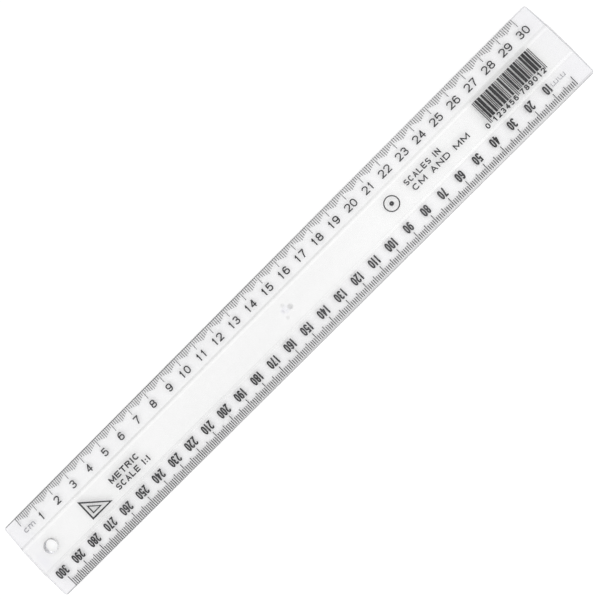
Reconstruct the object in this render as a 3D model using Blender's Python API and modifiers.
"""A 300 mm flat clear plastic rule, 40 mm wide, moulded in one piece, with a
centimetre scale along one bevelled edge and a millimetre scale along the other.

The rule lies flat on its back.  +X runs along it towards the 30 cm end, +Y
towards the centimetre edge and +Z up through its thickness.  The origin is on
the underside, at the middle of the length and of the width.

The moulding is one solid.  Everything printed on it is ink that was stamped on
the front, and each printed area is a thin solid of its own that lies just clear
of the face that it is printed on.
"""
import math

import bmesh
import bpy
import numpy as np
from mathutils import Matrix, Vector, geometry

MM = 0.001

# ---------------------------------------------------------------- moulding, mm
LENGTH = 315.0          # end to end
WIDTH = 40.0            # edge to edge
CORNER_R = 1.4          # corners in plan
PANEL_T = 2.4           # thickness of the raised centre panel
PANEL_HALF = 6.9        # half width of the panel's flat top
SHOULDER_HALF = 8.1     # where the riser beside the panel meets the bevel
SHOULDER_T = 2.05       # thickness there
EDGE_T = 1.0            # thickness at the two ruling edges
RISER_R = 0.5           # fillet at the top and the foot of the riser
EDGE_ROUND = 0.15       # small round on every moulded arris
HOLE_D = 6.0            # hanging hole
HOLE_INSET = 10.7       # its centre, from the 0 end
HOLE_CHAMFER = 0.25
GATE_D = 5.0            # gate mark: a shallow round dimple in the panel
GATE_DEPTH = 0.10
GATE_X, GATE_Y = -1.8, 0.8

# -------------------------------------------------------------------- scale, mm
ZERO_INSET = 6.7        # 0 of the centimetre scale, from the 0 end
SCALE_LENGTH = 300.0
TICK_STEP = 1.0
TICK_W = 0.22
INK_T = 0.03            # thickness given to the ink
INK_GAP = 0.02          # between the ink and the face under it
SPINE_H = 0.14          # hairline that runs along the foot of the ticks
CM_MARGIN = 0.45        # from the edge to the foot of the ticks
MM_MARGIN = 0.90
CM_TICK_FIRST, CM_TICK_RISE, CM_TICK_FULL = 1.6, 0.41, 4.55
MM_TICK_1, MM_TICK_5, MM_TICK_10 = 3.65, 4.60, 5.60

# ----------------------------------------------------------- lines of print, mm
# Y is the middle of a line, from the middle of the rule and positive towards
# the centimetre edge; H is its height, W the width of a character, T the stroke.
CM_NUM_Y, CM_NUM_H, CM_NUM_W, CM_NUM_T, CM_NUM_PITCH = 12.32, 3.6, 2.66, 0.57, 3.2
MM_NUM_Y, MM_NUM_H, MM_NUM_W, MM_NUM_T, MM_NUM_PITCH = -11.46, 4.1, 1.77, 0.64, 1.95
LINK_H = 0.12           # hairline that joins the characters at their feet
BAR_MODULE = 0.345      # width of the thinnest bar
BAR_TOP, BAR_FOOT, GUARD_FOOT = 6.4, -3.3, -5.0

CLEAR = (0.93, 0.94, 0.95, 0.30)
INK = (0.035, 0.035, 0.04, 1.0)

X0 = -LENGTH / 2 + ZERO_INSET                     # 0 of the centimetre scale
BEVEL_SLOPE = (SHOULDER_T - EDGE_T) / (WIDTH / 2 - SHOULDER_HALF)
BEVEL_ANGLE = math.atan(BEVEL_SLOPE)


# ------------------------------------------------------------------- utilities
def clear_scene():
    for obj in list(bpy.data.objects):
        bpy.data.objects.remove(obj, do_unlink=True)
    for coll in list(bpy.data.collections):
        bpy.data.collections.remove(coll)


def make_collection(name):
    coll = bpy.data.collections.new(name)
    bpy.context.scene.collection.children.link(coll)
    return coll


def principled(name, colour, roughness, alpha=1.0, transmission=0.0):
    mat = bpy.data.materials.new(name)
    mat.use_nodes = True
    shader = mat.node_tree.nodes["Principled BSDF"]
    shader.inputs["Base Color"].default_value = (*colour[:3], 1.0)
    shader.inputs["Roughness"].default_value = roughness
    shader.inputs["Metallic"].default_value = 0.0
    shader.inputs["IOR"].default_value = 1.59
    shader.inputs["Alpha"].default_value = alpha
    shader.inputs["Transmission Weight"].default_value = transmission
    mat.diffuse_color = (*colour[:3], alpha)
    return mat


def flat_curve(name, loops, thickness):
    """A closed 2D curve, filled on both faces, made into a welded mesh object.
    The first loop is the outline and the others are holes in it."""
    curve = bpy.data.curves.new(name + "_outline", "CURVE")
    curve.dimensions = "2D"
    curve.fill_mode = "BOTH"
    curve.extrude = thickness / 2
    for loop in loops:
        spline = curve.splines.new("POLY")
        spline.points.add(len(loop) - 1)
        for point, (u, v) in zip(spline.points, loop):
            point.co = (u, v, 0.0, 1.0)
        spline.use_cyclic_u = True
    guide = bpy.data.objects.new(name + "_outline", curve)
    bpy.context.scene.collection.objects.link(guide)
    bpy.context.view_layer.update()
    graph = bpy.context.evaluated_depsgraph_get()
    mesh = bpy.data.meshes.new_from_object(guide.evaluated_get(graph))
    mesh.name = name
    bpy.data.objects.remove(guide, do_unlink=True)
    work = bmesh.new()
    work.from_mesh(mesh)
    bmesh.ops.remove_doubles(work, verts=work.verts, dist=1e-4)
    bmesh.ops.scale(work, vec=(MM, MM, MM), verts=work.verts)
    bmesh.ops.recalc_face_normals(work, faces=work.faces)
    work.to_mesh(mesh)
    work.free()
    return bpy.data.objects.new(name, mesh)


def arc_points(cx, cy, r, a0, a1, n):
    return [
        (cx + r * math.cos(a0 + (a1 - a0) * i / n), cy + r * math.sin(a0 + (a1 - a0) * i / n))
        for i in range(n + 1)
    ]


def rounded_path(corners):
    """Closed outline through (u, v, fillet radius, segments) corners."""
    out = []
    count = len(corners)
    for i, (u, v, r, seg) in enumerate(corners):
        if r <= 0:
            out.append((u, v))
            continue
        here = Vector((u, v))
        before = (Vector(corners[i - 1][:2]) - here).normalized()
        after = (Vector(corners[(i + 1) % count][:2]) - here).normalized()
        half = before.angle(after) / 2
        reach = r / math.tan(half)
        centre = here + (before + after).normalized() * (r / math.sin(half))
        start, end = here + before * reach - centre, here + after * reach - centre
        a0 = math.atan2(start.y, start.x)
        turn = math.atan2(start.x * end.y - start.y * end.x, start.dot(end))
        out += arc_points(centre.x, centre.y, r, a0, a0 + turn, seg)
    return out


def cutter(coll, obj):
    obj.hide_render = True
    obj.display_type = "WIRE"
    coll.objects.link(obj)
    return obj


def boolean(obj, other, operation, name):
    mod = obj.modifiers.new(name, "BOOLEAN")
    mod.operation = operation
    mod.solver = "EXACT"
    mod.object = other
    return mod


# -------------------------------------------------------------------- moulding
def section_outline():
    """Half of the cross-section is listed and the other half mirrors it."""
    half = [
        (WIDTH / 2, 0.0, EDGE_ROUND, 3),
        (WIDTH / 2, EDGE_T, EDGE_ROUND, 3),
        (SHOULDER_HALF, SHOULDER_T, RISER_R, 3),
        (PANEL_HALF, PANEL_T, RISER_R, 3),
    ]
    mirrored = [(-y, z, r, s) for y, z, r, s in reversed(half)]
    return rounded_path(half + mirrored)


def build_body(parts, cutters):
    # The cross-section is drawn in its own XY plane and stood up along X.
    body = flat_curve("ruler_body", [section_outline()], LENGTH + 8.0)
    stand = Matrix(((0, 0, 1, 0), (1, 0, 0, 0), (0, 1, 0, 0), (0, 0, 0, 1)))
    body.data.transform(stand)
    parts.objects.link(body)

    ends = [
        (sx * LENGTH / 2, sy * WIDTH / 2, CORNER_R, 8)
        for sx, sy in ((1, -1), (1, 1), (-1, 1), (-1, -1))
    ]
    plan = cutter(cutters, flat_curve("cut_plan_outline", [rounded_path(ends)], 20.0))
    boolean(body, plan, "INTERSECT", "plan_outline")

    round_mod = body.modifiers.new("moulded_arris", "BEVEL")
    round_mod.width = EDGE_ROUND * MM
    round_mod.segments = 2
    round_mod.limit_method = "ANGLE"
    round_mod.angle_limit = math.radians(50)
    round_mod.use_clamp_overlap = True

    # One turned cutter makes the hole and the chamfer at each of its mouths.
    out = 0.5
    hole = turned_cutter("cut_hanging_hole", [
        (0.0, PANEL_T + out),
        (HOLE_D / 2 + HOLE_CHAMFER + out, PANEL_T + out),
        (HOLE_D / 2, PANEL_T - HOLE_CHAMFER),
        (HOLE_D / 2, HOLE_CHAMFER),
        (HOLE_D / 2 + HOLE_CHAMFER + out, -out),
        (0.0, -out),
    ], 56)
    hole.location = ((-LENGTH / 2 + HOLE_INSET) * MM, 0, 0)
    boolean(body, cutter(cutters, hole), "DIFFERENCE", "hanging_hole")

    # The gate mark is the cap of a flat sphere that dips into the panel.
    radius = (GATE_D ** 2 / 4 + GATE_DEPTH ** 2) / (2 * GATE_DEPTH)
    rings = 5
    line = [(0.0, 0.5), (GATE_D / 2, 0.5), (GATE_D / 2, 0.0)]
    for i in range(1, rings + 1):
        r = GATE_D / 2 * (1 - i / rings)
        line.append((r, -(math.sqrt(radius ** 2 - r ** 2) - (radius - GATE_DEPTH))))
    dish = turned_cutter("cut_gate_mark", line, 32)
    dish.location = (GATE_X * MM, GATE_Y * MM, PANEL_T * MM)
    boolean(body, cutter(cutters, dish), "DIFFERENCE", "gate_mark")
    return body


def turned_cutter(name, line, steps):
    """A profile (r, z) that runs down its outer side, turned about Z."""
    mesh = bpy.data.meshes.new(name)
    work = bmesh.new()
    verts = [work.verts.new((r * MM, 0, z * MM)) for r, z in line]
    for a, b in zip(verts, verts[1:]):
        work.edges.new((a, b))
    work.to_mesh(mesh)
    work.free()
    obj = bpy.data.objects.new(name, mesh)
    screw = obj.modifiers.new("turn", "SCREW")
    screw.angle = math.tau
    screw.steps = screw.render_steps = steps
    screw.axis = "Z"
    screw.use_merge_vertices = True
    screw.merge_threshold = 1e-6
    return obj


# ------------------------------------------------------------------------ print
def strip_mesh(name, spine, teeth):
    """A thin comb: a hairline spine (x0, x1, y0, y1) with teeth (x0, x1, y)
    that stand on it.  Teeth may reach above the spine or below it."""
    x0, x1, y0, y1 = spine
    work = bmesh.new()
    cache = {}

    def vert(x, y):
        key = (round(x, 5), round(y, 5))
        if key not in cache:
            cache[key] = work.verts.new((x * MM, y * MM, 0.0))
        return cache[key]

    cuts = sorted({x0, x1, *(t for a, b, *_ in teeth for t in (a, b))})
    cuts = [c for i, c in enumerate(cuts) if i == 0 or c - cuts[i - 1] > 1e-6]
    for a, b in zip(cuts, cuts[1:]):
        work.faces.new((vert(a, y0), vert(b, y0), vert(b, y1), vert(a, y1)))
    for a, b, y in teeth:
        a, b = (min(cuts, key=lambda c: abs(c - q)) for q in (a, b))
        if y > y1:
            work.faces.new((vert(a, y1), vert(b, y1), vert(b, y), vert(a, y)))
        else:
            work.faces.new((vert(a, y), vert(b, y), vert(b, y0), vert(a, y0)))
    mesh = bpy.data.meshes.new(name)
    work.to_mesh(mesh)
    work.free()
    return mesh


def thicken(obj):
    solid = obj.modifiers.new("ink_thickness", "SOLIDIFY")
    solid.thickness = INK_T * MM
    solid.offset = 1.0
    return obj


def on_bevel(obj, side):
    """Puts a flat print whose +Y is 'in from the edge' on one bevel.  side is
    +1 for the centimetre edge and -1 for the millimetre edge."""
    lift = INK_GAP / math.cos(BEVEL_ANGLE)
    tilt = Matrix.Rotation(BEVEL_ANGLE, 4, "X")
    turn = Matrix.Rotation(math.pi, 4, "Z") if side > 0 else Matrix.Identity(4)
    place = Matrix.Translation((0, side * WIDTH / 2 * MM, (EDGE_T + lift) * MM))
    obj.matrix_world = place @ turn @ tilt
    return obj


def on_panel(obj):
    obj.location = (0, 0, (PANEL_T + INK_GAP) * MM)
    return obj


def cm_tick_length(n):
    k = n % 10
    if k == 0:
        return CM_TICK_FULL
    return CM_TICK_FIRST + CM_TICK_RISE * min(k, 10 - k)


def mm_tick_length(n):
    return MM_TICK_10 if n % 10 == 0 else MM_TICK_5 if n % 5 == 0 else MM_TICK_1


def tick_comb(name, margin, length_of, side):
    # On the centimetre side the print is turned half round, so its x is reversed.
    count = int(round(SCALE_LENGTH / TICK_STEP))
    teeth = []
    for i in range(count + 1):
        n = int(round(i * TICK_STEP))
        x = (X0 + i * TICK_STEP) * (-1 if side > 0 else 1)
        teeth.append((x - TICK_W / 2, x + TICK_W / 2, length_of(n)))
    lo = min(t[0] for t in teeth)
    hi = max(t[1] for t in teeth)
    mesh = strip_mesh(name, (lo, hi, margin, margin + SPINE_H), teeth)
    return on_bevel(thicken(bpy.data.objects.new(name, mesh)), side)


def strokes(ch, w, h, e):
    """Centre lines of a plain character in a box w by h, as (points, closed,
    lengthen at the start, lengthen at the end), where e is half the stroke.
    Curves are chamfers, and every foot is cut square on the base line."""
    X, Y = lambda *f: [w * q for q in f], lambda *f: [h * q for q in f]
    line = lambda xs, ys, a=0.0, b=0.0: (list(zip(X(*xs), Y(*ys))), False, a, b)
    ring = lambda y0, y1: (list(zip(
        X(0.3, 0.7, 1, 1, 0.7, 0.3, 0, 0),
        Y(*(y0 + (y1 - y0) * q for q in (0, 0, 0.22, 0.78, 1, 1, 0.78, 0.22))))), True, 0, 0)
    stem = lambda x: line((x, x), (0, 1), e, e)
    table = {
        "0": lambda: [ring(0, 1)],
        "1": lambda: [stem(0.6), line((0.6, 0.05), (0.96, 0.76))],
        "2": lambda: [line((0, 0.25, 0.75, 1, 1, 0, 0, 1),
                           (0.8, 1, 1, 0.84, 0.62, 0.16, 0, 0), 0, e)],
        "3": lambda: [line((0, 0.25, 0.75, 1, 1, 0.7, 0.35),
                           (0.86, 1, 1, 0.86, 0.64, 0.52, 0.52)),
                      line((0.35, 0.7, 1, 1, 0.75, 0.25, 0),
                           (0.52, 0.52, 0.39, 0.14, 0, 0, 0.14))],
        "4": lambda: [stem(0.72), line((0.72, 0, 1), (1, 0.28, 0.28), 0, e)],
        "5": lambda: [line((0.92, 0.06, 0.06, 0.7, 1, 1, 0.7, 0.25, 0),
                           (1, 1, 0.58, 0.58, 0.44, 0.16, 0, 0, 0.12))],
        "6": lambda: [ring(0, 0.6), line((0, 0, 0.3, 0.85), (0.3, 0.78, 1, 1))],
        "7": lambda: [line((0, 1, 1, 0.4, 0.4), (1, 1, 0.86, 0.3, 0), 0, e)],
        "8": lambda: [ring(0, 0.52), ring(0.52, 1)],
        "9": lambda: [ring(0.4, 1), line((1, 1, 0.7, 0.15), (0.7, 0.22, 0, 0))],
        "c": lambda: [line((1, 0.7, 0.3, 0, 0, 0.3, 0.7, 1), (0.8, 1, 1, 0.78, 0.22, 0, 0, 0.2))],
        "m": lambda: [stem(0), stem(0.5), stem(1), line((0, 1), (1, 1))],
        "M": lambda: [stem(0), stem(1), line((0, 0.5, 1), (1, 0.2, 1))],
        "E": lambda: [stem(0), line((0, 1), (0, 0), 0, e), line((0, 0.9), (0.5, 0.5)),
                      line((0, 1), (1, 1), 0, e)],
        "T": lambda: [line((0.5, 0.5), (0, 1), e, 0), line((0, 1), (1, 1), e, e)],
        "R": lambda: [stem(0), line((0, 0.7, 1, 1, 0.7, 0), (1, 1, 0.86, 0.64, 0.5, 0.5)),
                      line((0.5, 1, 1), (0.5, 0.26, 0), 0, e)],
        "I": lambda: [stem(0.5)],
        "S": lambda: [line((1, 0.75, 0.25, 0, 0, 0.25, 0.75, 1, 1, 0.75, 0.25, 0),
                           (0.86, 1, 1, 0.86, 0.64, 0.5, 0.5, 0.36, 0.14, 0, 0, 0.14))],
        "A": lambda: [line((0, 0, 0.35, 0.65, 1, 1), (0, 0.5, 1, 1, 0.5, 0), e, e),
                      line((0, 1), (0.32, 0.32))],
        "L": lambda: [line((0, 0, 1), (1, 0, 0), e, e)],
        "N": lambda: [stem(0), stem(1), line((0, 1), (1, 0))],
        "D": lambda: [(list(zip(X(0, 0.6, 1, 1, 0.6, 0), Y(0, 0, 0.25, 0.75, 1, 1))), True, 0, 0)],
        ":": lambda: [line((0.5, 0.5), (0, 0.001), e, e), line((0.5, 0.5), (0.6, 0.601), e, e)],
    }
    table["C"] = table["c"]
    return table[ch]()


def ribbon(points, closed, grow_a, grow_b, t):
    """The stroke along a centre line, as triangles, with mitred joints."""
    p = [Vector(q) for q in points]
    n = len(p)
    if not closed:
        p[0] = p[0] + (p[0] - p[1]).normalized() * grow_a
        p[-1] = p[-1] + (p[-1] - p[-2]).normalized() * grow_b
    sides = []
    for i in range(n):
        before = (p[i] - p[i - 1]).normalized() if closed or i else None
        after = (p[(i + 1) % n] - p[i]).normalized() if closed or i < n - 1 else None
        before, after = before or after, after or before
        n1, n2 = Vector((-before.y, before.x)), Vector((-after.y, after.x))
        mid = (n1 + n2).normalized()
        reach = mid * (t / 2 * min(1 / max(mid.dot(n1), 0.4), 2.2))
        sides.append((p[i] + reach, p[i] - reach))
    out = []
    for i in range(n if closed else n - 1):
        a, b = sides[i], sides[(i + 1) % n]
        out += [[a[1], b[1], b[0]], [a[1], b[0], a[0]]]
    return out


def rect(x0, x1, y0, y1):
    return [Vector((x0, y0)), Vector((x1, y0)), Vector((x1, y1)), Vector((x0, y1))]


def text_pieces(body, cx, cy, char_w, h, t, pitch, turned=False, widths={}):
    """A line of characters centred on cx, cy, joined by a hairline at the feet.
    turned puts it upside down."""
    sign = -1 if turned else 1
    advance = [pitch + widths.get(ch, char_w) - char_w for ch in body]
    x = -(sum(advance) - (pitch - char_w)) / 2
    out = []
    for ch, step in zip(body, advance):
        w = widths.get(ch, char_w)
        if ch != " ":
            pieces = []
            for pts, closed, a, b in strokes(ch, w - t, h - t, t / 2):
                pieces += ribbon([(u + t / 2, v + t / 2) for u, v in pts], closed, a, b, t)
            if ch == ":":
                pieces.append(rect(w / 2 - LINK_H / 2, w / 2 + LINK_H / 2, t / 2, h * 0.6))
            out += [[Vector((cx + sign * (x + q.x), cy + sign * (q.y - h / 2))) for q in piece]
                    for piece in pieces]
        x += step
    return out


def foot_line(pieces, cy, h, turned=False):
    """The hairline under a line of characters, from its first to its last."""
    xs = [q.x for piece in pieces for q in piece]
    ys = (cy + h / 2 - LINK_H, cy + h / 2) if turned else (cy - h / 2, cy - h / 2 + LINK_H)
    return rect(min(xs), max(xs), *ys)


def outline(pieces):
    """The outline of everything that the pieces cover, as closed loops."""
    verts, faces = [], []
    for q in pieces:
        area = sum(a.x * b.y - b.x * a.y for a, b in zip(q, q[1:] + q[:1]))
        if abs(area) > 1e-6:
            q = q if area > 0 else q[::-1]
            faces.append(list(range(len(verts), len(verts) + len(q))))
            verts += q
    points, _, tris, _, _, source = geometry.delaunay_2d_cdt(verts, [], faces, 0, 1e-4)
    edges = set()
    for tri, origin in zip(tris, source):
        if origin:
            for i in range(3):
                a, b = tri[i - 1], tri[i]
                if (b, a) in edges:
                    edges.remove((b, a))
                else:
                    edges.add((a, b))
    follow = dict(edges)
    if len(follow) != len(edges):
        raise ValueError("the print touches itself at a point")
    loops = []
    while follow:
        a = min(follow)
        loop = []
        while a in follow:
            loop.append(a)
            a = follow.pop(a)
        loop = [points[i] for i in loop]
        kept = True
        while kept:
            kept = False
            for i in range(len(loop)):
                a, b, c = loop[i - 1], loop[i], loop[(i + 1) % len(loop)]
                base = (c - a).length
                if base > 0 and abs((b - a).cross(c - a)) / base < 0.004:
                    del loop[i]
                    kept = True
                    break
        loops.append([tuple(q) for q in loop])
    return loops


def print_on_bevel(name, pieces, side):
    plate = flat_curve(name, outline(pieces), INK_T)
    plate.data.transform(Matrix.Translation((0, 0, INK_T / 2 * MM)))
    return on_bevel(plate, side)


def print_on_panel(name, pieces):
    plate = flat_curve(name, outline(pieces), INK_T)
    plate.location.z = (PANEL_T + INK_GAP + INK_T / 2) * MM
    return plate


def bevel_text(name, lines, side):
    """Lines of print (text, x, y, char_w, h, t, pitch, widths) on one bevel, all
    at one height.  The print's own frame is turned half round on the centimetre
    side, so a character stands on its feet or its head alike in that frame."""
    pieces = []
    for body, x, y, char_w, h, t, pitch, widths in lines:
        cx, cy = -x if side > 0 else x, WIDTH / 2 - abs(y)
        pieces += text_pieces(body, cx, cy, char_w, h, t, pitch, True, widths)
    pieces.append(foot_line(pieces, cy, h, True))
    return print_on_bevel(name, pieces, side)


def panel_text(name, lines):
    """Lines of print on the panel, in the form of bevel_text.  What stands at one
    height shares a hairline, and one down the left joins two heights."""
    rows = {}
    for body, x, y, char_w, h, t, pitch, widths in lines:
        row = rows.setdefault((y, h), [])
        row += text_pieces(body, x, y, char_w, h, t, pitch, False, widths)
    pieces, lefts = [], []
    for (y, h), row in rows.items():
        lefts.append(min(q.x for piece in row for q in piece))
        pieces += row + [foot_line(row, y, h)]
    feet = [y - h / 2 for y, h in rows]
    if len(rows) > 1:
        pieces.append(rect(max(lefts), max(lefts) + LINK_H, min(feet), max(feet) + LINK_H))
    return print_on_panel(name, pieces)


def printed(obj, parts, ink):
    parts.objects.link(obj)
    obj.data.materials.clear()
    obj.data.materials.append(ink)
    return obj


def bar_teeth():
    """Upright bars in two blocks between three pairs of guard bars.  Their
    widths follow a simple repeating rule, so that they encode nothing."""
    teeth = []

    def guard(x):
        for k in range(2):
            teeth.append((x + 2 * k * BAR_MODULE, x + (2 * k + 1) * BAR_MODULE, GUARD_FOOT))
        return x + 3 * BAR_MODULE

    def block(x, end, i):
        x += BAR_MODULE
        while x < end - 1.2 * BAR_MODULE:
            width = BAR_MODULE * (1, 4, 3, 1, 3)[i * (i + 1) % 5]
            teeth.append((x, min(x + width, end - BAR_MODULE), BAR_FOOT))
            x += width + BAR_MODULE * (2 if i % 4 == 2 else 1)
            i += 1

    middle, end = X0 + 279.7, X0 + 295.0
    block(guard(X0 + 264.0), middle, 1)
    block(guard(middle), end, 3)
    guard(end)
    return teeth


def build_print(parts, ink):
    scale = lambda x: X0 + x
    printed(tick_comb("cm_scale_ticks", CM_MARGIN, cm_tick_length, 1), parts, ink)
    printed(tick_comb("mm_scale_ticks", MM_MARGIN, mm_tick_length, -1), parts, ink)

    lines = []
    for n in range(1, 31):
        two = n > 9
        lines.append((str(n), scale(10.0 * n) - (0.38 if two else 0.0), CM_NUM_Y, CM_NUM_W,
                      CM_NUM_H, CM_NUM_T, CM_NUM_PITCH + (0.3 if 9 < n < 20 else 0.0), {"1": 1.9}))
    printed(bevel_text("cm_scale_numerals", lines, 1), parts, ink)
    lines = [(str(v), scale(SCALE_LENGTH - v) - 0.2, MM_NUM_Y, MM_NUM_W, MM_NUM_H, MM_NUM_T,
              MM_NUM_PITCH, {"1": 1.4}) for v in range(10, 301, 10)]
    printed(bevel_text("mm_scale_numerals", lines, -1), parts, ink)

    # The unit labels at the start of each scale.
    printed(bevel_text("cm_unit_label", [
        ("cm", scale(2.75), 12.55, 2.3, 2.0, 0.42, 2.75, {"m": 3.4})], 1), parts, ink)
    printed(bevel_text("mm_unit_label", [
        ("mm", scale(295.7), -11.6, 3.3, 1.75, 0.28, 3.9, {})], -1), parts, ink)

    # A plain set square with its cut-out stands beside the first legend.
    cx = scale(31.8)
    shift = lambda pts: [(cx + u, v) for u, v in pts]
    emblem = ribbon(shift([(-5.4, -4.5), (5.6, -4.5), (-5.4, 4.7)]), True, 0, 0, 0.62)
    emblem += ribbon(shift([(-3.5, -2.75), (1.0, -2.75), (-3.5, 1.0)]), True, 0, 0, 0.45)
    emblem.append(rect(cx - 5.4, cx - 3.5, -1.0 - LINK_H / 2, -1.0 + LINK_H / 2))
    printed(print_on_panel("set_square_emblem", emblem), parts, ink)
    printed(panel_text("left_legend", [
        ("METRIC", scale(51.4), 1.6, 2.6, 2.75, 0.45, 3.15, {"I": 0.9, "M": 3.0}),
        ("SCALE 1:1", scale(53.1), -2.55, 2.3, 2.8, 0.45, 2.8, {"1": 1.2, ":": 0.6, " ": 1.2})]),
        parts, ink)

    # A plain ring round a dot stands beside the second legend.
    rx, ry = scale(212.0), 0.6
    ring = ribbon(arc_points(rx, ry, 3.3, 0, math.tau, 32)[:-1], True, 0, 0, 0.5)
    ring.append([Vector(q) for q in arc_points(rx, ry, 1.0, 0, math.tau, 16)[:-1]])
    ring.append(rect(rx - 3.3, rx, ry - LINK_H / 2, ry + LINK_H / 2))
    printed(print_on_panel("ring_emblem", ring), parts, ink)
    printed(panel_text("right_legend", [
        ("SCALES IN", scale(231.5), 2.5, 2.0, 2.6, 0.5, 2.5, {"I": 0.8, " ": 1.2}),
        ("CM AND MM", scale(238.4), -1.5, 3.0, 2.6, 0.5, 3.7, {"M": 3.6, " ": 1.6})]), parts, ink)

    # The block of bars, on a hairline along its top, and the digits under it.
    teeth = bar_teeth()
    mesh = strip_mesh("bar_block", (teeth[0][0], teeth[-1][1], BAR_TOP - LINK_H, BAR_TOP), teeth)
    printed(on_panel(thicken(bpy.data.objects.new("bar_block", mesh))), parts, ink)
    printed(panel_text("bar_block_digits", [
        ("0", scale(262.3), -4.85, 1.85, 2.4, 0.44, 2.4, {}),
        ("123456", scale(272.4), -4.85, 1.75, 2.4, 0.44, 2.38, {}),
        ("789012", scale(288.0), -4.85, 1.75, 2.4, 0.44, 2.38, {})]), parts, ink)


def main():
    clear_scene()
    parts = make_collection("flat_scale_ruler")
    cutters = make_collection("cutters")
    cutters.hide_render = True
    clear_plastic = principled("clear_plastic", CLEAR, 0.08, alpha=CLEAR[3])
    ink = principled("black_ink", INK, 0.45)
    body = build_body(parts, cutters)
    body.data.materials.clear()
    body.data.materials.append(clear_plastic)
    build_print(parts, ink)
    bpy.context.view_layer.update()


main()
